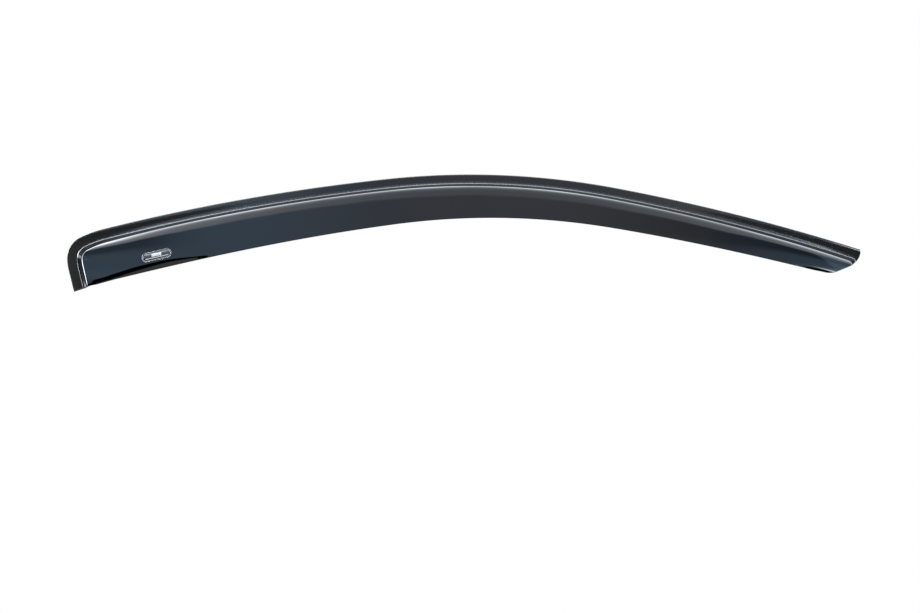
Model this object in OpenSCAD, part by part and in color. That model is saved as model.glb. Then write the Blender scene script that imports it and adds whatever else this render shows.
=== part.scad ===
// Window rain deflector for the front door of a car: one moulded acrylic visor that follows the
// door frame, with foam bonding tape and its release liners on the back and a small badge.
// +X points to the front tip, -Y outboard and +Z up. The origin is the middle of the bonding
// tape's face where the arch crowns.

/* [Outline of the outer edge] */
// Straight lower stretch of the rear side
rear_side = 24.1; // [12:0.1:40]
// Radius of the bend above the rear side
side_radius = 58; // [40:1:90]
// Turn of that bend, degrees
side_turn = 13; // [6:0.5:18]
// Radius of the rear corner
corner_radius = 26; // [20:1:40]
// Turn of the rear corner, degrees
corner_turn = 64; // [50:1:74]
// Radius where the corner runs out into the rear rail
shoulder_radius = 125; // [90:5:180]
// Turn of that run-out, degrees
shoulder_turn = 12.4; // [8:0.2:16]
// Radius of the rear rail
rear_rail_radius = 2340; // [1600:20:3400]
// Turn of the rear rail, degrees
rear_rail_turn = 7.87; // [5:0.01:10]
// Radius of the arch's crown
crown_radius = 870; // [650:10:1200]
// Turn of the arch from the rear rail to the crown's top, degrees
crown_rear_turn = 5.95; // [4:0.05:8]
// Turn of the arch from the crown's top to the front rail, degrees
crown_front_turn = 10.65; // [8:0.05:13]
// Radius of the front rail
front_rail_radius = 2390; // [1600:20:3400]
// Turn of the front rail, degrees
front_rail_turn = 6.69; // [4:0.01:9]

/* [Lower edge] */
// Width of the visor at the rear rail
rear_width = 57.6; // [45:0.1:70]
// Width of the visor at the front tip
front_width = 34.8; // [28:0.1:45]
// Extra width halfway along
middle_bulge = 2; // [0:0.1:4]
// Further extra width at the middle of both rails, none at the crown
rail_bulge = 4.7; // [0:0.1:8]
// Slope of the lower edge behind the rear rail, degrees
tail_slope = 15.4; // [8:0.2:20]
// Run of the lower edge past the rear crest
tail_run = 5; // [2:0.5:12]

/* [Ends] */
// Rise of the straight cut across the foot of the rear side, from its corner to the crest
rear_cut_rise = 1.2; // [0:0.1:5]
// Lean of the front end from square, degrees
tip_lean = 20; // [0:1:28]
// Depth of the front end before the slanted cut
tip_end_depth = 12.6; // [6:0.2:15]
// Angle between the slanted cut and the outer edge, degrees
tip_cut = 38.5; // [34:0.5:56]
// Radius where the front end meets the slanted cut
tip_round = 18; // [4:0.5:20]
// Distance ahead of the front end at which the flange's hook round the tip would close
tip_hook = 6; // [4:0.1:9]
// Softness of that hook
tip_hook_round = 5; // [2:0.5:7]
// Radius where the slanted cut meets the lower edge
tip_lower_radius = 24; // [8:1:30]

/* [Section] */
// Thickness of the bonding flange
flange_t = 3; // [2:0.1:4]
// Thickness of the blade
blade_t = 2.4; // [1.8:0.1:3.2]
// Crease of flange and wall from the outer edge, at the crown
crease_crown = 10.9; // [9:0.1:13]
// The same at both ends
crease_ends = 11.9; // [9:0.1:14]
// Crest of the wall from its crease, at the crown
wall_run_crown = 1.3; // [1.1:0.1:3]
// The same at both ends
wall_run_ends = 3.8; // [2.4:0.1:5]
// The same down the rear side, where the wall grows taller
wall_run_side = 5.8; // [3:0.1:7]
// Height of the crest over the flange, at the crown
step_crown = 4.8; // [3.5:0.1:6.5]
// The same at both ends
step_ends = 5.6; // [4:0.1:7]
// Half width of the concave fillet in the crease
crease_fillet = 1; // [0.5:0.1:1.8]
// Stretch of the flange that rises gently towards the crease
toe_width = 5.5; // [2:0.5:7]
// Slope of that stretch at the crease, rise over run
toe_slope = 0.3; // [0:0.05:0.4]
// Half width of the rounding on the crest
crest_round = 1.2; // [0.5:0.1:1.8]
// Outward slope of the blade just below the crest, rise over run
crest_lean = 0.35; // [0.2:0.01:0.5]
// Outward slope of the rest of the blade, rise over run
blade_lean = 0.17; // [0.1:0.01:0.26]
// Distance over which the first slope fades into the second
lean_fade = 4; // [2:0.5:8]
// Radius of the rounded edges
edge_round = 0.4; // [0.4:0.1:1.2]
// Inward slope that the curl of the lower edge reaches at the rear, rise over run
lip_slope = 0.27; // [0:0.01:0.36]
// Width of that curl at the rear end
lip_width = 10.5; // [5:0.5:16]
// Width of the curls where they run out, and of the one at the tip
lip_end_width = 3; // [2:0.5:5]
// Length over which the rear curl narrows
lip_length = 125; // [60:5:200]
// Length over which it then fades out
lip_fade = 25; // [10:5:60]
// Inward slope that the curl reaches at the front tip, rise over run
tip_lip_slope = 0.17; // [0:0.01:0.3]
// Length over which that one fades in
tip_lip_fade = 50; // [20:5:100]

/* [Body curvature] */
// Radius of the door frame's bow from rear to front
bow_radius = 8400; // [5000:100:14000]
// Radius of the door glass from top to bottom
glass_radius = 1200; // [800:50:2500]

/* [Bonding tape and liner] */
// Thickness of the foam tape
tape_t = 1.1; // [0.8:0.1:1.6]
// Width of the tape
tape_w = 7; // [5:0.5:8]
// Middle of the tape from the outer edge
tape_inset = 5; // [4:0.1:6]
// Thickness of the release liner
liner_t = 0.15; // [0.1:0.05:0.3]
// Bare stretch of flange at each outer end
tape_margin = 6; // [3:0.5:12]
// Length of the short strip on the rear side
rear_tape_length = 29; // [18:1:34]
// Bare stretch of flange between the two strips, around the rear corner
tape_gap = 42; // [30:1:60]

/* [Badge] */
// Length of the badge
badge_length = 34; // [24:1:40]
// Width of the badge
badge_width = 10.5; // [8:0.5:13]
// Thickness of the badge at its rim
badge_t = 1; // [0.8:0.1:1.5]
// Bevel round the badge's rim
badge_bevel = 0.3; // [0.1:0.05:0.4]
// Width of the raised rim
badge_rim = 1.1; // [0.6:0.1:1.6]
// Depth of the field inside the rim
badge_recess = 0.35; // [0.2:0.05:0.6]
// Middle of the badge from the rear end, along the outer edge
badge_along = 147; // [120:1:200]
// Middle of the badge from the outer edge
badge_inset = 42.4; // [34:0.2:46]

/* [Hidden] */

bond_gap = 0.02; // clearance between faces that are bonded
deg = 180 / PI;
rim_shares = [0, 0.35, 1]; // shares of the edge radius that have a row or a column of their own
leg_rows = [4, 3, 11, 3, 15, 14, 11]; // rows of the visor along each leg of the outer edge
tip_zone = 45; // length at the front over which the rows turn into the slanted end
tip_rows = 7;
tip_approach = 6; // least distance from that zone to the last row before it
section_columns = 13; // columns over crease, wall and crest
fillet_reach = 1.4; // start of those columns ahead of the crease, in fillets
toe_shares = [0, 0.4, 0.7]; // columns over the toe, up to those
crest_margin = [3, 4]; // their end past the crest, and how much further on the rear side
toe_fade = 3; // how soon the toe fades out towards the ends
lip_start = 20; // distance from the rear end at which the rear curl starts to narrow
strip_end = 2; // least distance from the end of a strip to its next row
blade_shares = [0.1, 0.24, 0.42, 0.62, 0.82]; // columns down the blade
badge_sides = 40;

// Legs of the outer edge from the rear end to the front tip, each a length and a turn
function bend(radius, turn) = [radius * turn / deg, turn];
legs = [
    [rear_side, 0],
    bend(side_radius, side_turn),
    bend(corner_radius, corner_turn),
    bend(shoulder_radius, shoulder_turn),
    bend(rear_rail_radius, rear_rail_turn),
    bend(crown_radius, crown_rear_turn + crown_front_turn),
    bend(front_rail_radius, front_rail_turn),
];
rear_rail = 4; // index of the leg from which the lower edge runs level with the outer edge
crown_leg = 5;
start_heading = side_turn + corner_turn + shoulder_turn + rear_rail_turn + crown_rear_turn;

// Point after going u along a leg from p at heading a, turning clockwise
function advance(p, a, leg, u) = leg[1] == 0
    ? p + u * [cos(a), sin(a)]
    : let (r = leg[0] * deg / leg[1], b = a - u * deg / r)
        p + r * [sin(a) - sin(b), cos(b) - cos(a)];

// Length run, point and heading at the start of leg k
function trail(k) = k == 0
    ? [0, [0, 0], start_heading]
    : let (t = trail(k - 1), leg = legs[k - 1])
        [t[0] + leg[0], advance(t[1], t[2], leg, leg[0]), t[2] - leg[1]];

corners = [for (k = [0 : len(legs)]) trail(k)];
crown_point = advance(corners[crown_leg][1], corners[crown_leg][2], legs[crown_leg],
    crown_radius * crown_rear_turn / deg);
edge_length = corners[len(legs)][0];
rail_start = corners[rear_rail][0];

// Point and heading of the outer edge at length s, with the origin on the tape under the crown
function edge_at(s) =
    let (k = max([for (i = [0 : len(legs) - 1]) if (i == 0 || corners[i][0] <= s) i]),
        leg = legs[k], u = s - corners[k][0])
    [advance(corners[k][1], corners[k][2], leg, u) - crown_point + [0, tape_inset],
        corners[k][2] - (leg[1] == 0 ? 0 : u * leg[1] / leg[0])];

function inward(a) = [sin(a), -cos(a)];
function inset_at(s, d) = let (e = edge_at(s)) e[0] + d * inward(e[1]);

// Centre of the rear rail's arc, from which the blade's height is measured round the rear corner
rail_centre = inset_at(rail_start, rear_rail_radius);
rear_end = edge_at(0)[0][0];
front_end = edge_at(edge_length)[0][0];
half_span = max(-rear_end, front_end);

function mix(a, b, t) = a + (b - a) * t;
function soft_max(a, b, r) = max(a, b) + pow(max(0, r - abs(a - b)), 2) / (4 * r);
function soft_min(a, b, r) = min(a, b) - pow(max(0, r - abs(a - b)), 2) / (4 * r);

// Share of the way from the crown, 0, to the ends, 1
function outwardness(p) = min(1, pow(p[0] / half_span, 2));

// Inboard fall of the curved door frame at a point of the plan
function fall(p) = p[0] * p[0] / (2 * bow_radius) + p[1] * p[1] / (2 * glass_radius);

// Width of the visor, square to the outer edge, at length s
function width_at(s) =
    let (t = (s - rail_start) / (edge_length - rail_start))
    mix(rear_width, front_width, t)
        + 4 * t * (1 - t) * (middle_bulge + rail_bulge * pow(1 - 2 * t, 2));

// Height of the blade's outer face over the back of the flange, depth below the outer edge
function blade_height(depth, q) =
    let (below = depth - mix(crease_crown + wall_run_crown, crease_ends + wall_run_ends, q),
        faded = 1 - exp(-max(0, below) / lean_fade))
    flange_t + mix(step_crown, step_ends, q) + blade_lean * below
        + (crest_lean - blade_lean) * (below > 0 ? lean_fade * faded : below);

// Gentle rise of the flange's face towards the crease, none at the ends of the visor
function toe(d, q) =
    let (run = max(0, d - mix(crease_crown, crease_ends, q) + toe_width))
    toe_slope * run * run / (2 * toe_width) * min(1, toe_fade * (1 - q));

// Heights of the back and the front of the section: d from the outer edge, side 1 on the rear side
function skin_heights(d, depth, q, side) =
    let (blade = blade_height(depth, q),
        slope = mix(mix(step_crown / wall_run_crown, step_ends / wall_run_ends, q),
            (blade - flange_t) / wall_run_side, side),
        wall = flange_t + slope * (d - mix(crease_crown, crease_ends, q)),
        crest = (slope - crest_lean) * crest_round,
        crease = slope * crease_fillet,
        inner_wall = wall - blade_t * sqrt(1 + slope * slope))
    [soft_max(0, soft_min(inner_wall, blade - blade_t, crest), crease),
        soft_min(soft_max(flange_t + toe(d, q), wall, crease), blade, crest)];

// Drop of the outer face at a distance from an edge, which rounds that edge
function rounding(e) =
    e >= edge_round ? 0 : edge_round - sqrt(pow(edge_round, 2) - pow(edge_round - e, 2));

function share(v) = max(0, min(1, v));

// Inward curl of the lower edge at a distance e from it: one at the rear and one at the tip
function curl(e, x) =
    let (past = x - rear_end - lip_start,
        width = mix(lip_width, lip_end_width, share(past / lip_length)),
        slope = lip_slope * share(1 - (past - lip_length) / lip_fade)
            + tip_lip_slope * share(1 - (front_end - tip_zone / 2 - x) / tip_lip_fade))
    slope * width / 2 * pow(share(1 - e / width), 2);

// Front end: length along the outer edge at which the visor ends, at depth d. A leaning end runs
// into a slanted cut, and that into the lower edge.
tip_slant = 1 / tan(tip_cut);
tip_base = edge_length - tip_zone;
tip_width = width_at(edge_length - tip_zone / 2);
tip_arc_depth = tip_width - tip_lower_radius;
function tip_line(d) =
    edge_length + tip_end_depth * (tan(tip_lean) + tip_slant) - tip_slant * d;
tip_arc_centre = tip_line(tip_arc_depth) - tip_lower_radius * sqrt(1 + tip_slant * tip_slant);
function tip_at(d) =
    let (arc = d - tip_arc_depth)
    arc > tip_lower_radius * cos(tip_cut)
        ? tip_arc_centre + sqrt(max(0, pow(tip_lower_radius, 2) - arc * arc))
        : soft_min(edge_length + d * tan(tip_lean), tip_line(d), tip_round);

// Distance that the wall follows near the tip, where the crease hooks round the front end
function hooked(d, s) =
    soft_min(d, (edge_length + d * tan(tip_lean) - s) * cos(tip_lean) + tip_hook, tip_hook_round);

// Insets of the columns across a row's outer part, over flange, toe, crease, wall and crest
function section_end(q, side) =
    mix(crease_crown + wall_run_crown, crease_ends + wall_run_ends, q)
        + crest_margin[0] + crest_margin[1] * side;
function section_insets(q, side) =
    let (crease = mix(crease_crown, crease_ends, q), first = crease - fillet_reach * crease_fillet)
    concat([for (r = rim_shares) r * edge_round], [for (f = toe_shares) mix(crease - toe_width, first, f)],
        [for (i = [0 : section_columns - 1])
            mix(first, section_end(q, side), i / (section_columns - 1))]);

// Point of a row's outer part, sheared at the foot of the rear side
function sheared(s, d) =
    inset_at(s + rear_cut_rise * d / (crease_ends + wall_run_ends) * max(0, 1 - s / rear_side), d);

// Lower edge behind the rear rail: a straight tail that runs past the foot of the rear crest
tail_top = inset_at(rail_start, rear_width);
tail_way = -[cos(tail_slope), sin(tail_slope)];
tail_length = (sheared(0, section_end(1, 1)) - tail_top) * tail_way - tail_run;

// Rows of the grid: a length along the outer edge, and the share of the way on to the tip
function leg_stations(k) =
    [for (i = [0 : leg_rows[k] - 1]) corners[k][0] + legs[k][0] * i / leg_rows[k]];
stations = [for (k = [0 : len(legs) - 1]) each leg_stations(k)];
rows = concat(
    [for (r = rim_shares) [r * edge_round, 0]],
    [for (s = stations) if (s > 2 * edge_round && s < tip_base - tip_approach) [s, 0]],
    [for (i = [0 : tip_rows - 1]) [tip_base, i / tip_rows]],
    [for (r = rim_shares) [tip_base, 1 - (1 - r) * edge_round / tip_zone]]);

// Inner and outer point of the visor at plan point p
function skins(p, d, depth, q, side, e, e_low) =
    let (heights = skin_heights(d, depth, q, side),
        curled = curl(e_low, p[0]),
        back = fall(p) - tape_t)
    [[p[0], back - heights[0] + curled, p[1]],
        [p[0], back - heights[1] + curled + rounding(e), p[1]]];

// Points of one row, outer edge first: square to the edge down to the blade, then straight to
// the lower edge, fanned out round the rear corner
function row_skins(row) =
    let (s = row[0], mid = edge_at(s + row[1] * (edge_length - s)), q = outwardness(mid[0]),
        side = max(0, min(1, (mid[1] - corners[rear_rail][2]) / (side_turn + corner_turn))),
        insets = section_insets(q, side), last = insets[len(insets) - 1],
        fan = s < rail_start, end_gap = row[1] > 0 ? (1 - row[1]) * tip_zone : edge_length,
        top = sheared(s, last),
        foot = tail_top + tail_way * tail_length * (1 - s / rail_start),
        reach = fan ? norm(foot - top) : mix(width_at(s), tip_width, row[1]) - last,
        drops = concat([for (f = blade_shares) f * (reach - edge_round)],
            [for (r = rim_shares) reach - (1 - r) * edge_round]))
    concat(
        [for (d = insets)
            let (along = s + row[1] * (tip_at(d) - s), p = sheared(along, d),
                depth = fan ? rear_rail_radius - norm(p - rail_centre) : d)
            skins(p, hooked(d, along), depth, q, side, min(d, s, end_gap), reach + last - d)],
        [for (drop = drops)
            let (d = last + drop, along = s + row[1] * (tip_at(d) - s),
                p = fan ? top + (foot - top) * drop / reach : inset_at(along, d),
                depth = fan ? rear_rail_radius - norm(p - rail_centre) : d, low = reach - drop)
            skins(p, hooked(d, along), depth, q, side, min(low, s, end_gap), low)]);

// Closed solid between two grids of points, given as rows of [back, front] pairs, with the
// front's columns running clockwise
module between(grid) {
    columns = len(grid[0]);
    last_row = len(grid) - 1;
    last_column = columns - 1;
    count = len(grid) * columns;
    points = concat([for (row = grid) for (pair = row) pair[1]],
        [for (row = grid) for (pair = row) pair[0]]);
    quads = [for (i = [0 : last_row - 1]) for (j = [0 : last_column - 1])
        [i * columns + j, (i + 1) * columns + j, (i + 1) * columns + j + 1, i * columns + j + 1]];
    rim = concat([for (i = [0 : last_row]) i * columns],
        [for (j = [1 : last_column]) last_row * columns + j],
        [for (i = [last_row - 1 : -1 : 0]) i * columns + last_column],
        [for (j = [last_column - 1 : -1 : 1]) j]);
    faces = concat(
        [for (f = quads) each [[f[0], f[1], f[2]], [f[0], f[2], f[3]]]],
        [for (f = quads) each [[f[2] + count, f[1] + count, f[0] + count],
            [f[3] + count, f[2] + count, f[0] + count]]],
        [for (k = [0 : len(rim) - 1])
            let (a = rim[k], b = rim[(k + 1) % len(rim)])
            each [[b, a, a + count], [b, a + count, b + count]]]);
    polyhedron(points = points, faces = faces, convexity = 6);
}

// Strip on the back of the flange from length s0 to s1, between two distances from the flange
module strip(s0, s1, near, far) {
    inner = [for (row = rows)
        if (row[1] == 0 && row[0] > s0 + strip_end && row[0] < s1 - strip_end) row[0]];
    between([for (s = concat([s0], inner, [s1]))
        [for (d = [tape_inset - tape_w / 2, tape_inset + tape_w / 2])
            let (p = inset_at(s, d), back = fall(p) - tape_t)
            [[p[0], back + far, p[1]], [p[0], back + near, p[1]]]]]);
}

rear_tape_end = tape_margin + rear_tape_length;
arch_tape_start = rear_tape_end + tape_gap;
arch_tape_end = edge_length - tape_margin;

module visor() {
    color("#1c2022")
    between([for (row = rows) row_skins(row)]);
}

module tape(s0, s1) {
    color("#2b2b2b")
    strip(s0, s1, bond_gap, tape_t);
}

module liner(s0, s1) {
    color("#c0272d")
    strip(s0, s1, tape_t + bond_gap, tape_t + bond_gap + liner_t);
}

module arch_tape() {
    tape(arch_tape_start, arch_tape_end);
}

module rear_tape() {
    tape(tape_margin, rear_tape_end);
}

module arch_liner() {
    liner(arch_tape_start, arch_tape_end);
}

module rear_liner() {
    liner(tape_margin, rear_tape_end);
}

// Ring of the badge's stadium outline, pulled in by an inset and raised off the blade by a lift
function badge_ring(inset, lift) =
    let (place = edge_at(badge_along), radius = badge_width / 2 - inset,
        straight = (badge_length - badge_width) / 2)
    [for (k = [0 : badge_sides - 1])
        let (turn = (k + 0.5) * 360 / badge_sides,
            u = radius * cos(turn) + straight * sign(cos(turn)), v = radius * sin(turn),
            p = inset_at(badge_along, badge_inset - v) + u * [cos(place[1]), sin(place[1])],
            face = fall(p) - tape_t - blade_height(badge_inset - v, outwardness(p)))
        [p[0], face - lift, p[1]]];

module badge() {
    middle = badge_width / 2 - badge_bevel;
    rings = [
        badge_ring(middle, bond_gap),
        badge_ring(0, bond_gap),
        badge_ring(0, badge_t - badge_bevel),
        badge_ring(badge_bevel, badge_t),
        badge_ring(badge_rim, badge_t),
        badge_ring(badge_rim + badge_bevel, badge_t - badge_recess),
        badge_ring(middle, badge_t - badge_recess),
    ];
    n = badge_sides;
    caps = [[for (k = [n - 1 : -1 : 0]) k], [for (k = [0 : n - 1]) (len(rings) - 1) * n + k]];
    sides = [for (i = [0 : len(rings) - 2]) for (k = [0 : n - 1])
        let (a = i * n + k, b = i * n + (k + 1) % n)
        each [[a, b, b + n], [a, b + n, a + n]]];
    color("silver")
    polyhedron(points = [for (ring = rings) each ring], faces = concat(caps, sides));
}

visor();
badge();
arch_tape();
rear_tape();
arch_liner();
rear_liner();
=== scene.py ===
import math

import bpy
import numpy as np
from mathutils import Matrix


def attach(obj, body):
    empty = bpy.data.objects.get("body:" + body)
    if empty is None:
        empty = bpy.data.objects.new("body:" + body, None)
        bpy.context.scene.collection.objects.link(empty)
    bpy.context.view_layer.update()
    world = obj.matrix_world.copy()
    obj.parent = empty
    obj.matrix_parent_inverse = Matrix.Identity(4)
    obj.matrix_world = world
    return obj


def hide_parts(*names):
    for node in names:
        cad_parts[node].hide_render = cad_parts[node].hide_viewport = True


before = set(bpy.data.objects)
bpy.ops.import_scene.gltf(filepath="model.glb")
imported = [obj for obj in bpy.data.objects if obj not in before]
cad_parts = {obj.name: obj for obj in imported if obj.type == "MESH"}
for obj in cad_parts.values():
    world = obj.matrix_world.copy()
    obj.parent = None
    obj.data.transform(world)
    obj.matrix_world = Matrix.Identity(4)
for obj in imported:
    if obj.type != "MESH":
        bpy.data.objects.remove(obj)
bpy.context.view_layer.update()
print("frame loaded")

millimetre = 0.001
tiny = 1e-6
pureWhite = (1, 1, 1, 1)


# A node's output that adds, subtracts, multiplies and divides as a number does
class Link:
    def __init__(self, tree, socket=None):
        self.tree = tree
        self.socket = socket

    # Any node: its settings first, then the values or links of its sockets
    def node(self, kind, settings=None, inputs=None, out=0):
        made = self.tree.nodes.new(kind)
        for name, value in (settings or {}).items():
            if name == "stops":
                setStops(made.color_ramp, value)
            else:
                setattr(made, name, value)
        for name, value in (inputs or {}).items():
            if isinstance(value, Link):
                self.tree.links.new(value.socket, made.inputs[name])
            else:
                made.inputs[name].default_value = value
        return Link(self.tree, made.outputs[out] if made.outputs else None)

    # A math node on numbers or links, in the order of its sockets
    def math(self, operation, *values):
        return self.node("ShaderNodeMath", {"operation": operation}, dict(enumerate(values)))

    def __add__(self, other):
        return self.math("ADD", self, other)

    def __sub__(self, other):
        return self.math("SUBTRACT", self, other)

    def __rsub__(self, other):
        return self.math("SUBTRACT", other, self)

    def __mul__(self, other):
        return self.math("MULTIPLY", self, other)

    def __truediv__(self, other):
        return self.math("DIVIDE", self, other)

    __radd__ = __add__
    __rmul__ = __mul__

    # 0 below low, 1 above high and a smooth rise between them
    def rise(self, low, high):
        return self.node("ShaderNodeMapRange", {"interpolation_type": "SMOOTHSTEP"},
                         {"Value": self, "From Min": low, "From Max": high})

    # Level read off a list of places and levels, straight between them
    def read(self, places):
        low, high = places[0][0], places[-1][0]
        stops = [((place - low) / (high - low), (level, level, level, 1)) for place, level in places]
        return self.node("ShaderNodeValToRGB", {"stops": stops}, {"Fac": (self - low) / (high - low)})

    # One colour where this value is 0, the other where it is 1
    def blend(self, first, second):
        return self.node("ShaderNodeMix", {"data_type": "RGBA"}, {0: self, 6: first, 7: second}, 2)

    # Noise over the piece, 0 to 1; a size is the length of one patch in metres
    def noise(self, place, size, detail=2.0, stretch=(1, 1, 1)):
        scaled = self.node("ShaderNodeVectorMath", {"operation": "MULTIPLY"}, {0: place, 1: stretch})
        return self.node("ShaderNodeTexNoise", {},
                         {"Vector": scaled, "Scale": 1 / size, "Detail": detail})


# Places and colours of a ramp's stops, as many as the list has
def setStops(ramp, stops):
    while len(ramp.elements) < len(stops):
        ramp.elements.new(1.0)
    for element, (place, colour) in zip(ramp.elements, stops):
        element.position = place
        element.color = colour


# Emptied nodes of a material or world, to build on
def newTree(owner):
    owner.use_nodes = True
    owner.node_tree.nodes.clear()
    return Link(owner.node_tree)


# Outer edge from the rear end to the front tip, in millimetres and degrees. A bend is a radius and
# a turn.
outline = {
    "rearSide": 24.1,
    "sideBend": (58, 13),
    "rearCorner": (26, 64),
    "shoulder": (125, 12.4),
    "rearRail": (2340, 7.87),
    "crown": (870, 16.6),
    "frontRail": (2390, 6.69),
    "turnToCrownTop": 5.95,
    "bowRadius": 8400,
    "glassRadius": 1200,
}

bends = [outline[name] for name in
         ("sideBend", "rearCorner", "shoulder", "rearRail", "crown", "frontRail")]
railLeg = 4
crownLeg = 5
legTurn = np.radians([0] + [turn for radius, turn in bends])
legLength = np.array([outline["rearSide"]] + [radius * math.radians(turn) for radius, turn in bends])
legCurve = legTurn / legLength
legStart = np.concatenate([[0], np.cumsum(legLength)])
crownTopTurn = math.radians(outline["turnToCrownTop"])
legHeading = legTurn[:crownLeg].sum() + crownTopTurn - np.concatenate([[0], np.cumsum(legTurn)[:-1]])
edgeLength = legStart[-1]
railStart = legStart[railLeg]


# Point after a run along an even bend: its chord, midway between the two headings
def runOn(x, z, heading, curve, run):
    half = curve * run / 2
    chord = run * np.sinc(half / np.pi)
    return x + chord * np.cos(heading - half), z + chord * np.sin(heading - half)


legPoint = np.zeros((len(legLength) + 1, 2))
for k in range(len(legLength)):
    legPoint[k + 1] = runOn(*legPoint[k], legHeading[k], legCurve[k], legLength[k])
crownTop = runOn(*legPoint[crownLeg], legHeading[crownLeg], legCurve[crownLeg],
                 crownTopTurn / legCurve[crownLeg])


# Point and heading of the outer edge after a length of it
def edgeAt(length):
    leg = np.clip(np.searchsorted(legStart, length, side="right") - 1, 0, len(legLength) - 1)
    run = length - legStart[leg]
    x, z = runOn(legPoint[leg, 0], legPoint[leg, 1], legHeading[leg], legCurve[leg], run)
    return x - crownTop[0], z - crownTop[1] + tape["inset"], legHeading[leg] - legCurve[leg] * run


# Point at a distance square to the outer edge, inwards
def insetAt(length, inset):
    x, z, heading = edgeAt(length)
    return x + inset * np.sin(heading), z - inset * np.cos(heading)


# Inboard fall of the door frame: a shallow bow along the car and a rounder one up the glass
def fall(x, z):
    return x * x / (2 * outline["bowRadius"]) + z * z / (2 * outline["glassRadius"])


# Straight mix: the first at share 0, the second at share 1
def mix(first, second, share):
    return first + (second - first) * share


# The larger, or smaller, of two with a parabola of half width r where they meet
def softMax(a, b, r):
    return np.maximum(a, b) + np.maximum(0, r - np.abs(a - b)) ** 2 / (4 * r)


def softMin(a, b, r):
    return np.minimum(a, b) - np.maximum(0, r - np.abs(a - b)) ** 2 / (4 * r)


# Moulded visor, in millimetres and degrees. A pair is the value at the crown and at the ends.
visor = {
    "rearWidth": 57.6,
    "frontWidth": 34.8,
    "middleBulge": 2,
    "railBulge": 4.7,
    "tailSlope": 15.4,
    "tailRun": 5,
    "rearCutRise": 1.2,
    "tipLean": 20,
    "tipEndDepth": 12.6,
    "tipCut": 38.5,
    "tipRound": 18,
    "tipHook": 6,
    "tipHookRound": 5,
    "tipLowerRadius": 24,
    "flange": 3,
    "blade": 2.4,
    "crease": (10.9, 11.9),
    "wallRun": (1.3, 3.8),
    "sideWallRun": 5.8,
    "step": (4.8, 5.6),
    "creaseFillet": 1,
    "toeWidth": 5.5,
    "toeSlope": 0.3,
    "toeFade": 3,
    "crestRound": 1.2,
    "crestLean": 0.35,
    "bladeLean": 0.17,
    "leanFade": 4,
    "edgeRound": 0.4,
    "backRound": 0.3,
    "pastCrest": (3, 4),           # end of the fine columns past the crest, and more on the rear side
    "tipZone": 45,
    "satinOuter": 0.3,             # share of the full satin along the outer edge
    "satinSide": 0.25,
    "satinFade": 0.9,
    "satinPast": 0.2,
}

visorGrid = {
    "legRows": [8, 10, 44, 16, 72, 60, 64],
    "tipRows": 56,
    "rimSteps": 6,
    "flangeColumns": 5,
    "stepColumns": 38,
    "bladeColumns": 22,
    "lipColumns": 24,
    "lipShare": 0.25,              # part of the blade that the lip's columns cover
    "creaseStart": 1.4,            # crease fillets that the fine columns begin before the crease
    "rimClear": 1.5,
    "tipClear": 2,
    "tipEase": 1.5,
    "bladeEase": 1.3,
}

# Inward lip along the lower edge: a bend from its top to its foot, both heights over the edge, then
# straight on to the edge. What grows, begins or ends does so between two shares of the lip's run, and
# the tip's lip between two places along the car.
lip = {
    "start": -402,
    "run": 112,
    "top": (6.2, 8.6, 2.6),        # at the start, along the lip and where it runs out
    "topGrows": (0, 0.35),
    "topEnds": (0.55, 1.08),
    "foot": (0, 4.3, 2.4),
    "footGrows": (-0.1, 0.65),
    "footEnds": (0.6, 1.08),
    "leastBend": 0.2,
    "slope": (0.24, 0.27),
    "slopeGrows": (0, 0.25),
    "begins": (-0.2, -0.12),
    "ends": (0.9, 1.03),
    "tipFrom": (350, 386),
    "tipTop": 4.2,
    "tipFoot": 1.2,
    "tipSlope": 0.12,
}

tape = {
    "thickness": 1.1,
    "width": 7,
    "inset": 5,
    "liner": 0.15,
    "margin": 6,
    "rearLength": 29,
    "gap": 42,
    "bondGap": 0.02,
    "cornerRound": 0.25,
    "cornerShare": 0.4,            # most of a strip's thickness that one rounding takes
    "cornerSteps": 4,
    "sharpAngle": 50,
    "rowSpacing": 3,
}


# Share of the way from the crown, 0, to the ends, 1
def outwardness(x):
    return np.minimum(1, (x / max(-edgeAt(0.0)[0], edgeAt(edgeLength)[0])) ** 2)


# Width of the visor: straight taper from the rear rail to the tip, with a bulge on each rail
def widthAt(length):
    t = (length - railStart) / (edgeLength - railStart)
    bulge = visor["middleBulge"] + visor["railBulge"] * (1 - 2 * t) ** 2
    return mix(visor["rearWidth"], visor["frontWidth"], t) + 4 * t * (1 - t) * bulge


# Height of the blade's face over the back of the flange: steep below the crest, easing to its lean
def bladeHeight(depth, q):
    below = depth - mix(*visor["crease"], q) - mix(*visor["wallRun"], q)
    eased = visor["leanFade"] * (1 - np.exp(-np.maximum(0, below) / visor["leanFade"]))
    extra = (visor["crestLean"] - visor["bladeLean"]) * np.where(below > 0, eased, below)
    return visor["flange"] + mix(*visor["step"], q) + visor["bladeLean"] * below + extra


# Gentle rise of the flange towards the crease: a parabola, fading out at both ends of the visor
def toe(inset, q):
    run = np.maximum(0, inset - mix(*visor["crease"], q) + visor["toeWidth"])
    return visor["toeSlope"] * run ** 2 / (2 * visor["toeWidth"]) * np.minimum(1, visor["toeFade"] * (1 - q))


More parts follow.
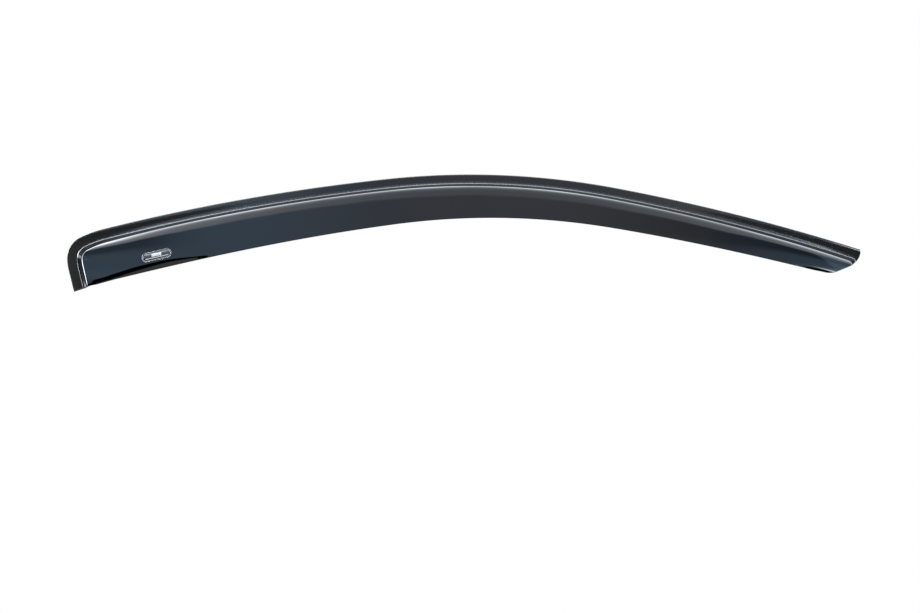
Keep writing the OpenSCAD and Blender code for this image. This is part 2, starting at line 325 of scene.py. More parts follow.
# Heights of the back and the face: flange, wall and blade joined by fillets
def skinHeights(inset, depth, q, side):
    crownSlope, endSlope = (rise / run for rise, run in zip(visor["step"], visor["wallRun"]))
    blade = bladeHeight(depth, q)
    slope = mix(mix(crownSlope, endSlope, q), (blade - visor["flange"]) / visor["sideWallRun"], side)
    wall = visor["flange"] + slope * (inset - mix(*visor["crease"], q))
    crest = (slope - visor["crestLean"]) * visor["crestRound"]
    crease = slope * visor["creaseFillet"]
    innerWall = wall - visor["blade"] * np.sqrt(1 + slope * slope)
    back = softMax(0, softMin(innerWall, blade - visor["blade"], crest), crease)
    face = softMin(softMax(visor["flange"] + toe(inset, q), wall, crease), blade, crest)
    return back, face


# Drop of a rounded edge at a distance from it: a quarter circle
def rounding(distance, radius):
    inner = np.clip(radius - distance, 0, radius)
    return radius - np.sqrt(radius ** 2 - inner ** 2)


# 0 below low, 1 above high and a smooth rise between them
def rise(value, low, high):
    share = np.clip((value - low) / (high - low), 0, 1)
    return share * share * (3 - 2 * share)


# Inboard run of a bend near an edge: the integral of a slope that rises evenly from the bend's top
# to its foot and stays from there to the edge
def bendRun(low, slope, top, foot):
    pastTop = np.maximum(0, top - low)
    pastFoot = np.maximum(0, foot - low)
    return slope * (pastTop ** 2 - pastFoot ** 2) / (2 * (top - foot))


# Inward curl of the lower edge: the rear lip, which narrows and fades out, and a small one at the tip
def curl(low, x):
    share = (x - lip["start"]) / lip["run"]
    atStart, along, atEnd = lip["top"]
    top = mix(atStart, along, rise(share, *lip["topGrows"]))
    top = mix(top, atEnd, rise(share, *lip["topEnds"]))
    atStart, along, atEnd = lip["foot"]
    foot = mix(atStart, along, rise(share, *lip["footGrows"]))
    foot = np.minimum(mix(foot, atEnd, rise(share, *lip["footEnds"])), top - lip["leastBend"])
    slope = mix(*lip["slope"], rise(share, *lip["slopeGrows"]))
    slope = slope * rise(share, *lip["begins"]) * (1 - rise(share, *lip["ends"]))
    tipSlope = lip["tipSlope"] * rise(x, *lip["tipFrom"])
    return bendRun(low, slope, top, foot) + bendRun(low, tipSlope, lip["tipTop"], lip["tipFoot"])


# Length at which the front end cuts a depth: a leaning end, a slanted cut and a lower corner arc
def tipAt(depth):
    tipWidth = widthAt(edgeLength - visor["tipZone"] / 2)
    lean = math.tan(math.radians(visor["tipLean"]))
    slant = 1 / math.tan(math.radians(visor["tipCut"]))
    radius = visor["tipLowerRadius"]
    arcDepth = tipWidth - radius
    reach = edgeLength + visor["tipEndDepth"] * (lean + slant)
    arcCentre = reach - slant * arcDepth - radius * math.hypot(1, slant)
    below = depth - arcDepth
    arc = arcCentre + np.sqrt(np.maximum(0, radius ** 2 - below ** 2))
    cut = softMin(edgeLength + depth * lean, reach - slant * depth, visor["tipRound"])
    return np.where(below > radius * math.cos(math.radians(visor["tipCut"])), arc, cut)


# Inset that the wall follows: it hooks round the front end at a set distance from it
def hooked(inset, length):
    lean = math.radians(visor["tipLean"])
    ahead = (edgeLength + inset * math.tan(lean) - length) * math.cos(lean) + visor["tipHook"]
    return softMin(inset, ahead, visor["tipHookRound"])


# Point of the outer part of a row, with the foot of the rear side cut on a straight slant
def shearedAt(length, inset):
    share = inset / (visor["crease"][1] + visor["wallRun"][1])
    lift = visor["rearCutRise"] * share * np.maximum(0, 1 - length / outline["rearSide"])
    return insetAt(length + lift, inset)


# Distances from an edge, closer together towards it, that turn its rounding evenly
def rimDistances():
    return visor["edgeRound"] * (1 - np.cos(np.linspace(0, np.pi / 2, visorGrid["rimSteps"])))


# Rows of the visor: a length along the outer edge and the share of the way on to the front end
def visorRows():
    tipBase = edgeLength - visor["tipZone"]
    rim = rimDistances()
    legs = [start + length * np.arange(count) / count
            for start, length, count in zip(legStart, legLength, visorGrid["legRows"])]
    lengths = np.concatenate(legs)
    pastRim = lengths > visorGrid["rimClear"] * visor["edgeRound"]
    beforeTip = lengths < tipBase - visorGrid["tipClear"]
    lengths = np.concatenate([rim, lengths[pastRim & beforeTip]])
    ease = (1 - np.arange(visorGrid["tipRows"]) / visorGrid["tipRows"]) ** visorGrid["tipEase"]
    rimShare = rim[::-1] / visor["tipZone"]
    shares = np.concatenate([(1 - rimShare[0]) * (1 - ease), 1 - rimShare])
    return (np.concatenate([lengths, np.full(len(shares), tipBase)])[:, None],
            np.concatenate([np.zeros(len(lengths)), shares])[:, None])


# Face and back of the visor over its rows and columns. Each row runs square to the outer edge over
# flange and step, then straight down the blade; behind the rear rail the rows fan out to the tail.
def visorSurfaces():
    length, share = visorRows()
    midX, _, heading = edgeAt(length + share * (edgeLength - length))
    q = outwardness(midX)
    cornerTurn = math.radians(outline["sideBend"][1] + outline["rearCorner"][1])
    side = np.clip((heading - legHeading[railLeg]) / cornerTurn, 0, 1)
    crease = mix(*visor["crease"], q)
    last = crease + mix(*visor["wallRun"], q) + visor["pastCrest"][0] + visor["pastCrest"][1] * side
    first = crease - visorGrid["creaseStart"] * visor["creaseFillet"]
    rim = rimDistances()[None, :]
    flangeShare = np.linspace(0, 1, visorGrid["flangeColumns"] + 2)[None, 1:-1]
    stepShare = np.linspace(0, 1, visorGrid["stepColumns"])[None, :]
    lipFrom = 1 - visorGrid["lipShare"]
    bladeShare = np.concatenate([
        lipFrom * np.linspace(0, 1, visorGrid["bladeColumns"] + 1)[1:] ** visorGrid["bladeEase"],
        np.linspace(lipFrom, 1, visorGrid["lipColumns"] + 1)[1:-1],
    ])[None, :]
    upper = np.hstack([rim + 0 * length, mix(visor["edgeRound"], first, flangeShare),
                       mix(first, last, stepShare)])

    tailSlope = math.radians(visor["tailSlope"])
    tailTop = insetAt(railStart, visor["rearWidth"])
    rearTop = shearedAt(0.0, visor["crease"][1] + visor["wallRun"][1] + sum(visor["pastCrest"]))
    tailLength = ((tailTop[0] - rearTop[0]) * math.cos(tailSlope)
                  + (tailTop[1] - rearTop[1]) * math.sin(tailSlope) - visor["tailRun"])
    back = np.maximum(0, 1 - length / railStart) * tailLength
    footX = tailTop[0] - math.cos(tailSlope) * back
    footZ = tailTop[1] - math.sin(tailSlope) * back
    topX, topZ = shearedAt(length, last)
    fan = length < railStart
    rowWidth = mix(widthAt(length), widthAt(edgeLength - visor["tipZone"] / 2), share)
    reach = np.where(fan, np.hypot(footX - topX, footZ - topZ), rowWidth - last)
    drop = np.hstack([bladeShare * (reach - visor["edgeRound"]), reach - rim[:, ::-1]])

    inset = np.hstack([upper, last + drop])
    along = length + share * (tipAt(inset) - length)
    x, z = insetAt(along, inset)
    foreX, foreZ = shearedAt(along, inset)
    columns = upper.shape[1]
    x[:, :columns] = foreX[:, :columns]
    z[:, :columns] = foreZ[:, :columns]
    x[:, columns:] = np.where(fan, topX + (footX - topX) * drop / reach, x[:, columns:])
    z[:, columns:] = np.where(fan, topZ + (footZ - topZ) * drop / reach, z[:, columns:])

    railCentre = insetAt(railStart, outline["rearRail"][0])
    fromRail = outline["rearRail"][0] - np.hypot(x - railCentre[0], z - railCentre[1])
    depth = np.where(fan, fromRail, inset)
    low = reach + last - inset
    cutSlope = np.gradient(tipAt(inset), axis=1) / np.maximum(np.gradient(inset, axis=1), tiny)
    toTip = (1 - share) * (tipAt(inset) - length) / np.sqrt(1 + cutSlope ** 2)
    toTip = np.where(share > 0, toTip, edgeLength)
    edge = np.minimum(np.minimum(inset, low), np.minimum(length, toTip))

    wallInset = hooked(inset, along)
    back, face = skinHeights(wallInset, depth, q, side)
    base = fall(x, z) - tape["thickness"] + curl(low, x)
    faceY = base - face + rounding(edge, visor["edgeRound"])
    backY = base - back - rounding(edge, visor["backRound"])
    before = crease - wallInset
    satin = mix(1, visor["satinOuter"], np.clip(before / visor["toeWidth"], 0, 1))
    satin = mix(satin, visor["satinSide"], side)
    satin = satin * np.clip(before / visor["satinFade"] + visor["satinPast"], 0, 1)
    return (np.stack([x, faceY, z], axis=-1), np.stack([x, backY, z], axis=-1),
            np.stack([along, inset], axis=-1), satin)


# Mesh of a piece from whole arrays: points in millimetres, faces, and what its material reads
def makePiece(name, node, material, points, faces, uv=None, values=None, sharpAngle=None):
    mesh = bpy.data.meshes.new(name)
    mesh.from_pydata((points * millimetre).tolist(), [], faces)
    corner = np.empty(len(mesh.loops), dtype=np.int32)
    mesh.loops.foreach_get("vertex_index", corner)
    if uv is not None:
        mesh.uv_layers.new(name="along").data.foreach_set("uv", (uv * millimetre)[corner].ravel())
    for label, numbers in (values or {}).items():
        mesh.attributes.new(label, "FLOAT", "POINT").data.foreach_set("value", numbers)
    mesh.shade_smooth()
    if sharpAngle:
        mesh.set_sharp_from_angle(angle=math.radians(sharpAngle))
    mesh.materials.append(material)
    piece = bpy.data.objects.new(name, mesh)
    bpy.context.scene.collection.objects.link(piece)
    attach(piece, "root")
    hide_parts(node)
    print(name, "made of", len(mesh.polygons), "faces")
    return piece


# Faces of a closed shell between two grids of the same rows and columns: the face, the back turned
# round, and a wall along their common rim
def shellFaces(rows, columns):
    cell = np.arange(rows * columns).reshape(rows, columns)
    quads = np.stack([cell[:-1, :-1], cell[:-1, 1:], cell[1:, 1:], cell[1:, :-1]], axis=-1).reshape(-1, 4)
    rim = np.concatenate([cell[:-1, 0], cell[-1, :-1], cell[:0:-1, -1], cell[0, :0:-1]])
    ahead = np.roll(rim, -1)
    wall = np.stack([rim, ahead, ahead + cell.size, rim + cell.size], axis=-1)
    return np.concatenate([quads, quads[:, ::-1] + cell.size, wall]).tolist()


def makeVisor(material):
    face, back, uv, satin = visorSurfaces()
    rows, columns = satin.shape
    points = np.concatenate([face.reshape(-1, 3), back.reshape(-1, 3)])
    uvs = np.tile(uv.reshape(-1, 2), (2, 1))
    return makePiece("moulded_visor", "visor", material, points, shellFaces(rows, columns),
                     uvs, {"satin": np.tile(satin.ravel(), 2)})


# Flat strip on the back of the flange: a rounded rectangle carried along the outer edge
def makeStrip(name, node, material, start, end, low, high):
    count = max(2, round((end - start) / tape["rowSpacing"]))
    length = np.linspace(start, end, count)[:, None]
    radius = min(tape["cornerRound"], (high - low) * tape["cornerShare"])
    quarter = np.linspace(0, 90, tape["cornerSteps"])
    turn = np.radians(np.concatenate([quarter + corner for corner in (0, 90, 180, 270)]))
    across = np.cos(turn) * radius + np.sign(np.cos(turn + tiny)) * (tape["width"] / 2 - radius)
    height = np.sin(turn) * radius + np.sign(np.sin(turn + tiny)) * ((high - low) / 2 - radius)
    inset = tape["inset"] + across[None, :]
    x, z = insetAt(length, inset)
    y = fall(x, z) - tape["thickness"] + (low + high) / 2 + height[None, :]
    columns = len(turn)
    cell = np.arange(count * columns).reshape(count, columns)
    ahead = np.roll(cell, -1, axis=1)
    quads = np.stack([cell[:-1], cell[1:], ahead[1:], ahead[:-1]], axis=-1).reshape(-1, 4)
    faces = quads.tolist() + [cell[0].tolist(), cell[-1, ::-1].tolist()]
    uv = np.stack([np.broadcast_to(length, x.shape), np.broadcast_to(inset, x.shape)], axis=-1)
    return makePiece(name, node, material, np.stack([x, y, z], axis=-1).reshape(-1, 3), faces,
                     uv.reshape(-1, 2), sharpAngle=tape["sharpAngle"])


badge = {
    "length": 34,
    "width": 10.5,
    "thickness": 1,
    "rim": 1.1,
    "recess": 0.35,
    "dome": 0.25,
    "edge": 0.3,
    "edgeSteps": 5,
    "footInset": 0.3,
    "rimRound": 0.15,
    "rimDrop": 0.05,
    "sharpAngle": 60,
    "along": 147,
    "inset": 42.4,
    "sides": 144,
    "domeRings": 8,
}


# Badge: rings of a stadium, each an inset from its outline and a lift off the blade, joined up and
# closed with a low dome in the middle
def makeBadge(material):
    heading = edgeAt(badge["along"])[2]
    half = badge["width"] / 2
    turn = (np.arange(badge["sides"]) + 0.5) * 2 * np.pi / badge["sides"]
    quarter = np.linspace(0, np.pi / 2, badge["edgeSteps"])
    rim, thickness, soft, drop = (badge[name] for name in ("rim", "thickness", "rimRound", "rimDrop"))
    floor = thickness - badge["recess"]
    share = np.linspace(0, 1, badge["domeRings"] + 1)[1:]
    profile = np.concatenate([
        [[half - badge["footInset"], tape["bondGap"]], [0, tape["bondGap"]]],
        np.stack([badge["edge"] * (1 - np.cos(quarter)),
                  thickness - badge["edge"] * (1 - np.sin(quarter))], axis=-1),
        [[rim - soft, thickness], [rim, thickness - drop], [rim + soft, floor + drop],
         [rim + 2 * soft, floor]],
        np.stack([mix(rim + 2 * soft, half - drop, share),
                  floor + badge["dome"] * (1 - (1 - share) ** 2)], axis=-1),
    ])
    radius = half - profile[:, :1]
    across = radius * np.sin(turn)
    along = radius * np.cos(turn) + (badge["length"] / 2 - half) * np.sign(np.cos(turn))
    x, z = insetAt(badge["along"], badge["inset"] - across)
    x = x + along * np.cos(heading)
    z = z + along * np.sin(heading)
    face = bladeHeight(badge["inset"] - across, outwardness(x))
    y = fall(x, z) - tape["thickness"] - face - profile[:, 1:]
    rings, columns = x.shape
    cell = np.arange(rings * columns).reshape(rings, columns)
    ahead = np.roll(cell, -1, axis=1)
    quads = np.stack([cell[:-1], ahead[:-1], ahead[1:], cell[1:]], axis=-1).reshape(-1, 4)
    faces = quads.tolist() + [cell[0, ::-1].tolist(), cell[-1].tolist()]
    points = np.stack([x, y, z], axis=-1).reshape(-1, 3)
    inside = np.broadcast_to(profile[:, :1], x.shape).ravel()
    return makePiece("domed_badge", "badge", material, points, faces,
                     np.stack([along, across], axis=-1).reshape(-1, 2),
                     {"inside": inside}, sharpAngle=badge["sharpAngle"])


# Last two nodes of a material: its shader with these values, and the output
def principled(start, values):
    shader = start.node("ShaderNodeBsdfPrincipled", {}, values)
    start.node("ShaderNodeOutputMaterial", {}, {"Surface": shader})


acrylicLook = {
    "deep": (0.0006, 0.0007, 0.0009, 1),
    "haze": (0.0015, 0.0018, 0.002, 1),
    "flangeEndsGrey": (0.017, 0.0175, 0.018, 1),
    "flangeEndsGreyFrom": (120, 280),
    "glossRough": 0.035,
    "smudgeRough": 0.04,
    "satinRough": 0.185,
    "cloudSize": 0.06,
    "cloudRange": (0.4, 0.75),
    "smudgeSize": 0.012,
    "smudgeRange": (0.45, 0.8),
    "waves": 0.06,
    "waveSize": 0.045,
    "waveHeight": 0.002,
    "grain": 0.008,
    "grainSize": 0.0006,
    "grainHeight": 0.0001,
    "ior": 1.52,
}


# Black acrylic: a deep gloss with faint smudges and slow waves, and a satin grain on the flange
def acrylic():
    look = acrylicLook
    material = bpy.data.materials.new("polished_black_acrylic")
    start = newTree(material)
    place = start.node("ShaderNodeTexCoord", out="Object")
    satin = start.node("ShaderNodeAttribute", {"attribute_name": "satin"}, out="Fac")
    clouds = start.noise(place, look["cloudSize"], 3).rise(*look["cloudRange"])
    smudges = start.noise(place, look["smudgeSize"], 4, (1, 1, 0.5)).rise(*look["smudgeRange"])
    rough = look["glossRough"] + smudges * clouds * look["smudgeRough"] + satin * look["satinRough"]
    waves = start.node("ShaderNodeBump", {}, {"Strength": look["waves"], "Distance": look["waveHeight"],
                                              "Height": start.noise(place, look["waveSize"], 1)})
    grain = start.node("ShaderNodeBump", {}, {"Strength": satin * look["grain"],
                                              "Distance": look["grainHeight"], "Normal": waves,
                                              "Height": start.noise(place, look["grainSize"], 2)})
    # On the flange the base colour turns a paler grey from 120 to 280 mm either side of the middle
    away = start.node("ShaderNodeSeparateXYZ", {}, {0: place}) / millimetre
    away = away.math("ABSOLUTE", away).rise(*look["flangeEndsGreyFrom"])
    colour = (satin.rise(0, 0.2) * away).blend(clouds.blend(look["deep"], look["haze"]), look["flangeEndsGrey"])
    principled(start, {"Base Color": colour, "Roughness": rough, "IOR": look["ior"], "Normal": grain})
    return material


foamLook = {
    "pale": (0.028, 0.028, 0.03, 1),
    "dark": (0.012, 0.012, 0.013, 1),
    "cell": 0.0005,
    "cellDepth": 0.0002,
    "bump": 0.5,
    "patch": 0.01,
    "rough": 0.75,
    "patchRough": 0.2,
}


# Closed-cell foam: matt, with fine open cells
def foam():
    material = bpy.data.materials.new("grey_bonding_foam")
    start = newTree(material)
    place = start.node("ShaderNodeTexCoord", out="Object")
    cells = start.node("ShaderNodeTexVoronoi", {}, {"Vector": place, "Scale": 1 / foamLook["cell"]})
    patches = start.noise(place, foamLook["patch"], 3)
    bump = start.node("ShaderNodeBump", {}, {"Strength": foamLook["bump"],
                                             "Distance": foamLook["cellDepth"], "Height": cells})
    principled(start, {"Base Color": patches.blend(foamLook["dark"], foamLook["pale"]),
                       "Roughness": foamLook["rough"] + patches * foamLook["patchRough"], "Normal": bump})
    return material


filmLook = {
    "thin": (0.62, 0.03, 0.03, 1),
    "thick": (0.4, 0.012, 0.014, 1),
    "streak": 0.002,
    "ripple": 0.018,
    "rippleHeight": 0.0006,
    "bump": 0.35,
    "rough": 0.16,
    "streakRough": 0.16,
}


# Red release film: glossy, with slow ripples across the strip and fine rolling lines along it
def film():
    material = bpy.data.materials.new("red_release_film")
    start = newTree(material)
    uv = start.node("ShaderNodeUVMap", {"uv_map": "along"})
    streaks = start.noise(uv, filmLook["streak"], 2, (0.05, 1, 1))
    ripples = start.noise(uv, filmLook["ripple"], 2, (1, 0.3, 1))
    bump = start.node("ShaderNodeBump", {}, {"Strength": filmLook["bump"],
                                             "Distance": filmLook["rippleHeight"], "Height": ripples})
    principled(start, {"Base Color": streaks.blend(filmLook["thin"], filmLook["thick"]),
                       "Roughness": filmLook["rough"] + streaks * filmLook["streakRough"],
                       "Normal": bump})
    return material


badgeLook = {
    "field": (0.016, 0.02, 0.022, 1),
    "silver": (0.72, 0.73, 0.73, 1),
    "edgeSilver": (0.15, 0.155, 0.16, 1),
    "rimLine": (0.3, 0.65),
    "bar": (11, 3, 0.9),           # length, width and height over the middle
    "line": (26, 0.9, -2),
    "softEnds": 0.1,
    "softSides": 0.08,
    "brushed": 0.0012,
    "barMetal": 0.12,
    "rough": 0.1,
    "barRough": 0.12,
    "rimRough": 0.4,
    "coatRough": 0.03,
}


# Silver film with a dark field, a plain bar and a plain line, under a clear dome
def silver():
    look = badgeLook
    material = bpy.data.materials.new("badge_silver_film")
    start = newTree(material)
    uv = start.node("ShaderNodeUVMap", {"uv_map": "along"})
    inside = start.node("ShaderNodeAttribute", {"attribute_name": "inside"}, out="Fac")
    along, across = (start.node("ShaderNodeSeparateXYZ", {}, {0: uv}, axis) / millimetre
                     for axis in range(2))

    # 1 on a plain bar, 0 off it
    def barMask(length, width, centre):
        offAlong = along.math("ABSOLUTE", along)
        offAcross = across.math("ABSOLUTE", across - centre)
        ends = 1 - offAlong.rise(length / 2 - look["softEnds"], length / 2 + look["softEnds"])
        return ends * (1 - offAcross.rise(width / 2 - look["softSides"], width / 2 + look["softSides"]))

    # 0 nearer to the badge's edge than this distance, 1 further in
    def past(distance):
        return inside.rise(distance - look["softEnds"], distance + look["softEnds"])

    lineStart, lineEnd = look["rimLine"]
    rim = past(lineStart) * (1 - past(lineEnd))
    bars = barMask(*look["bar"]) + barMask(*look["line"])
    metal = rim.math("MAXIMUM", rim, bars)
    printed = bars.blend(look["edgeSilver"], look["silver"])
    onRim = 1 - past(badge["rim"])
    brushed = start.noise(uv, look["brushed"], 2, (0.08, 1, 1))
    rough = look["rough"] + bars * brushed * look["barRough"] + onRim * look["rimRough"]
    principled(start, {"Base Color": metal.blend(look["field"], printed), "Roughness": rough,
                       "Metallic": bars * look["barMetal"], "Coat Weight": 1 - onRim,
                       "Coat Roughness": look["coatRough"]})
    return material


# Levels, degrees, and ranges over which something begins or ends. A range named From lies along the
# sideways part of a direction, 0 straight ahead and 1 square to the side.
studio = {
    "diffuse": 0.85,
    "floorPart": 0.75,
    "floorEdge": -14.5,
    "floorSoft": 1,
    "glint": 6,
    "glintFrom": (0.15, 0.25),
    "glintTop": (-45, -30),
    "darkTop": 3,
    "darkSoft": 1.5,
    "darkTopSides": 5,
    "darkRearFrom": (0.14, 0.2),
    "darkFrontFrom": (0.17, 0.22),
    "darkFrontTo": (0.3, 0.32),
    "wall": 0.82,
    "rearGain": 0.2,
    "rearGainFrom": (0.08, 0.2),
    "shadeUnderLamp": (-5.5, -3.5),
    "shadeRear": 0.5,
    "shadeRearFrom": (0.24, 0.31),
    "shadeFront": 0.65,
    "shadeFrontFrom": (0.1, 0.36),
    "rimTop": 9.5,
    "rimBase": 3.5,
    "rimSoft": 1,
    "rimRear": 0.25,
    "rimRearFrom": (0.2, 0.3),
    "rimFront": 16,
    "rimFrontFrom": (0.322, 0.345),
    "flangeGlow": 0.3,
    "flangeGlowFrom": (0.262, 0.274),
    "flangeGlowTop": (-6, -4),
    "tipGlow": 0.9,
    "tipGlowFrom": (0.352, 0.362),
    "lampEdge": 21.8,
    "lampEdgeBend": 60,
    "lampEdgeLeast": 17.5,
    "lampEdgeRear": 1.5,
    "lampEdgeRearFrom": (0.33, 0.37),
    "lampSoft": 0.8,
    "sideLampFrom": (0.44, 0.5),
    "sideLampBase": (-36, -28),
    "plateau": 0.5,
    "plateauRear": 18,
    "plateauFront": 8,
    "plateauMost": 1.3,
    "plateauPolar": (45, 75),
    "ring": 62,
    "ringByPolar": [(25, 0), (29, 0.02), (32, 0.1), (35, 0.4), (38, 1), (45, 1), (50, 0.6), (56, 0.34),
                    (65, 0.25), (75, 0.18), (85, 0.1), (95, 0.03), (110, 0.005), (180, 0)],
    "ringByTurn": [(-125, 0.4), (-112, 0.4), (-107, 0.5), (-104, 0.55), (-101, 0.1), (-99, 0.03),
                   (-93, 0.03), (-90, 0.8), (-87, 1.5), (-79, 1.3), (-76, 0.6), (-68, 0.55), (-60, 0.55),
                   (-54, 0.3), (-49, 0.26), (-45, 0.57), (-42, 0.85), (-40, 0.7), (-37, 0.36), (-34, 0.27),
                   (-30, 0.27), (-26, 0.36), (-18, 0.3), (-11, 0.34), (-6, 0.43), (2, 0.31), (11, 0.42),
                   (20, 0.29), (26, 0.2), (33, 0.2), (37, 0.26), (50, 0.19)],
    "ringPastCorner": 0.75,        # part of the ring that is lost round the rear corner
    "cornerPolar": (48, 58),
    "cornerTurn": (-84, -79),
    "cornerEnd": (-40, -20),
    "gapPolar": (45, 48),
    "gapEnd": (-97, -94),
    "behind": (105, 125),
    "wings": 0.12,
    "blueRearFrom": (0.02, 0.25),
    "blueFrontFrom": (0.22, 0.33),
    "blueLostInRim": (0.5, 2),
    "blueTint": (0.7, 1.04, 1.44, 1),
    "greyTint": (0.93, 1.0, 1.17, 1),
    "lampTint": (0.92, 1.0, 1.1, 1),
    "floorTint": (1.0, 1.0, 1.02, 1),
    "keySize": 1.6,
    "keyEnergy": 14,
    "keyPlace": (-0.3, -0.9, 1.6),
    "keyTurn": (28, 0, -10),
    "floorZ": -0.75,
    "floorRadius": 1.5,
    "floorSides": 96,
    "floorPaint": (0.86, 0.86, 0.86, 1),
    "floorSeen": 0.8,              # share of plain white that the camera sees in its middle
    "floorFade": (0.6, 0.95),
}


# White for the camera, an even level for matt surfaces, and for gloss a plain studio behind the
# camera: pale floor, dark band, grey wall with a pale rim, and above its curved edge a ceiling that
# grows into a wide soft lamp. Angles are in degrees: height over the level, and polar from the
# camera's side.
def studioWorld():
    world = bpy.data.worlds.new("studio")
    bpy.context.scene.world = world
    start = newTree(world)
    way = start.node("ShaderNodeTexCoord", out="Generated")
    x, y, z = (start.node("ShaderNodeSeparateXYZ", {}, {0: way}, axis) for axis in range(3))
    toDegrees = 180 / math.pi
    polar = y.math("ARCCOSINE", y * -1) * toDegrees
    height = z.math("ARCSINE", z) * toDegrees
    rearward, forward = x * -1, x
    spread = x * x
    lampEdge = spread.math("MAXIMUM", studio["lampEdge"] - spread * studio["lampEdgeBend"],
                           studio["lampEdgeLeast"])
    over = height - lampEdge - rearward.rise(*studio["lampEdgeRearFrom"]) * studio["lampEdgeRear"]

    # 0 below a height and 1 above it, over twice the softness
    def overHeight(value, middle, soft):
        return value.rise(middle - soft, middle + soft)

    shade = (rearward.rise(*studio["shadeRearFrom"]) * studio["shadeRear"]
             + forward.rise(*studio["shadeFrontFrom"]) * studio["shadeFront"])
    wall = studio["wall"] + rearward.rise(*studio["rearGainFrom"]) * studio["rearGain"]
    wall = wall * (1 - shade * over.rise(*studio["shadeUnderLamp"]))
    rim = (rearward.rise(*studio["rimRearFrom"]) * studio["rimRear"]
           + forward.rise(*studio["rimFrontFrom"]) * studio["rimFront"])
    rim = rim * (1 - overHeight(height, studio["rimTop"], studio["rimSoft"]))
    rim = rim * overHeight(height, studio["rimBase"], studio["rimSoft"])
    wall = wall + rim
    wall = wall + forward.rise(*studio["tipGlowFrom"]) * studio["tipGlow"]
    sides = (rearward.rise(*studio["darkRearFrom"])
             + forward.rise(*studio["darkFrontFrom"]) * (1 - forward.rise(*studio["darkFrontTo"])))
    overDark = height - studio["darkTop"] - sides * studio["darkTopSides"]
    band = overHeight(overDark, 0, studio["darkSoft"])
    below = 1 - overHeight(height, studio["floorEdge"], studio["floorSoft"])
    glow = rearward.rise(*studio["flangeGlowFrom"]) * (1 - height.rise(*studio["flangeGlowTop"]))
    glow = glow * (1 - below) * studio["flangeGlow"]
    glint = rearward.rise(*studio["glintFrom"]) * (1 - height.rise(*studio["glintTop"])) * studio["glint"]
    low = wall * band + below * (studio["floorPart"] + glint) + glow

    turn = x.math("ARCTAN2", x, z) * toDegrees
    ring = polar.read(studio["ringByPolar"]) * turn.read(studio["ringByTurn"]) * studio["ring"]
    corner = (polar.rise(*studio["cornerPolar"]) * turn.rise(*studio["cornerTurn"])
              * (1 - turn.rise(*studio["cornerEnd"])))
    ring = ring * (1 - corner * studio["ringPastCorner"])
    ring = ring * (1 - polar.rise(*studio["gapPolar"]) * (1 - turn.rise(*studio["gapEnd"])))
    plateau = (rearward.math("MAXIMUM", rearward, 0) * rearward * studio["plateauRear"]
               + forward.math("MAXIMUM", forward, 0) * forward * studio["plateauFront"])
    plateau = plateau.math("MINIMUM", plateau, studio["plateauMost"]) + studio["plateau"] + studio["wall"]
    lamp = plateau * (1 - polar.rise(*studio["plateauPolar"])) + ring
    sideLamp = rearward.rise(*studio["sideLampFrom"]) * height.rise(*studio["sideLampBase"])
    above = over.math("MAXIMUM", overHeight(over, 0, studio["lampSoft"]), sideLamp)
    level = low * (1 - above) + lamp * above
    behind = polar.rise(*studio["behind"])
    level = level * (1 - behind) + studio["wings"] * behind

    blue = rearward.rise(*studio["blueRearFrom"]) + forward.rise(*studio["blueFrontFrom"])
    blue = blue * (1 - rim.rise(*studio["blueLostInRim"]))
    tint = band.blend(studio["floorTint"], blue.blend(studio["greyTint"], studio["blueTint"]))
    tint = above.blend(tint, studio["lampTint"])
    camera = start.node("ShaderNodeLightPath", out="Is Camera Ray")
    glossy = start.node("ShaderNodeLightPath", out="Is Glossy Ray")
    matt = start.node("ShaderNodeBackground", {}, {"Color": pureWhite, "Strength": studio["diffuse"]})
    gloss = start.node("ShaderNodeBackground", {}, {"Color": tint, "Strength": level})
    white = start.node("ShaderNodeBackground", {}, {"Color": pureWhite, "Strength": 1.0})
    seen = start.node("ShaderNodeMixShader", {}, {0: glossy, 1: matt, 2: gloss})
    seen = start.node("ShaderNodeMixShader", {}, {0: camera, 1: seen, 2: white})
    start.node("ShaderNodeOutputWorld", {}, {"Surface": seen})


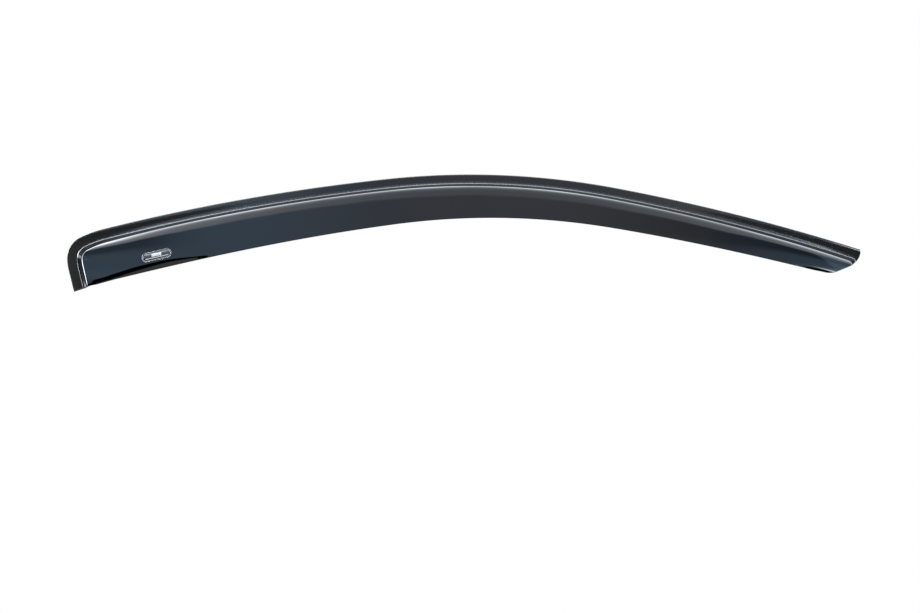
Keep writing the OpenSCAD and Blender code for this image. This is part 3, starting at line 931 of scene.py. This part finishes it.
# Pale round floor under the part: it carries the part's soft shadow and turns plain white at its rim
def makeFloor():
    radius = studio["floorRadius"]
    turn = np.linspace(0, 2 * np.pi, studio["floorSides"] + 1)[:-1]
    points = np.stack([radius * np.cos(turn), radius * np.sin(turn), 0 * turn + studio["floorZ"]], axis=-1)
    mesh = bpy.data.meshes.new("floor")
    mesh.from_pydata(points.tolist(), [], [list(range(len(turn)))])
    material = bpy.data.materials.new("pale_floor")
    start = newTree(material)
    camera = start.node("ShaderNodeLightPath", out="Is Camera Ray")
    place = start.node("ShaderNodeTexCoord", out="Object")
    flat = start.node("ShaderNodeVectorMath", {"operation": "MULTIPLY"}, {0: place, 1: (1, 1, 0)})
    away = start.node("ShaderNodeVectorMath", {"operation": "LENGTH"}, {0: flat}, "Value")
    fadeStart, fadeEnd = studio["floorFade"]
    white = studio["floorSeen"] + away.rise(fadeStart * radius, fadeEnd * radius) * (1 - studio["floorSeen"])
    paint = start.node("ShaderNodeBsdfDiffuse", {}, {"Color": studio["floorPaint"]})
    glow = start.node("ShaderNodeEmission", {}, {"Color": pureWhite, "Strength": 1.0})
    surface = start.node("ShaderNodeMixShader", {}, {0: camera * white, 1: paint, 2: glow})
    start.node("ShaderNodeOutputMaterial", {}, {"Surface": surface})
    mesh.materials.append(material)
    floor = bpy.data.objects.new("floor", mesh)
    bpy.context.scene.collection.objects.link(floor)


def makeKeyLamp():
    lamp = bpy.data.lights.new("key", "AREA")
    lamp.size = studio["keySize"]
    lamp.energy = studio["keyEnergy"]
    key = bpy.data.objects.new("key", lamp)
    key.location = studio["keyPlace"]
    key.rotation_euler = [math.radians(angle) for angle in studio["keyTurn"]]
    key.visible_glossy = False
    bpy.context.scene.collection.objects.link(key)


view = {
    "distance": 2.4,
    "plane": -0.004,
    "centreX": -0.011577,
    "centreZ": -0.140294,
    "widthSeen": 1.012,
    "sensor": 36,
}


# Camera square to the part's side, far enough for the photograph's slight perspective
def makeCamera():
    data = bpy.data.cameras.new("camera")
    data.sensor_width = view["sensor"]
    data.lens = view["sensor"] * view["distance"] / view["widthSeen"]
    camera = bpy.data.objects.new("camera", data)
    camera.location = (view["centreX"], view["plane"] - view["distance"], view["centreZ"])
    camera.rotation_euler = (math.pi / 2, 0, 0)
    bpy.context.scene.collection.objects.link(camera)
    bpy.context.scene.camera = camera


makeCamera()
studioWorld()
makeFloor()
makeKeyLamp()
print("studio set up")

makeVisor(acrylic())
makeBadge(silver())

rearEnd = tape["margin"] + tape["rearLength"]
strips = {"arch": (rearEnd + tape["gap"], edgeLength - tape["margin"]), "rear": (tape["margin"], rearEnd)}
foamMaterial = foam()
filmMaterial = film()
for place, (start, end) in strips.items():
    thickness = tape["thickness"]
    makeStrip(place + "_foam_tape", place + "_tape", foamMaterial, start, end,
              tape["bondGap"], thickness)
    makeStrip(place + "_release_film", place + "_liner", filmMaterial, start, end,
              thickness + tape["bondGap"], thickness + tape["bondGap"] + tape["liner"])

bpy.context.scene.view_settings.view_transform = "Standard"
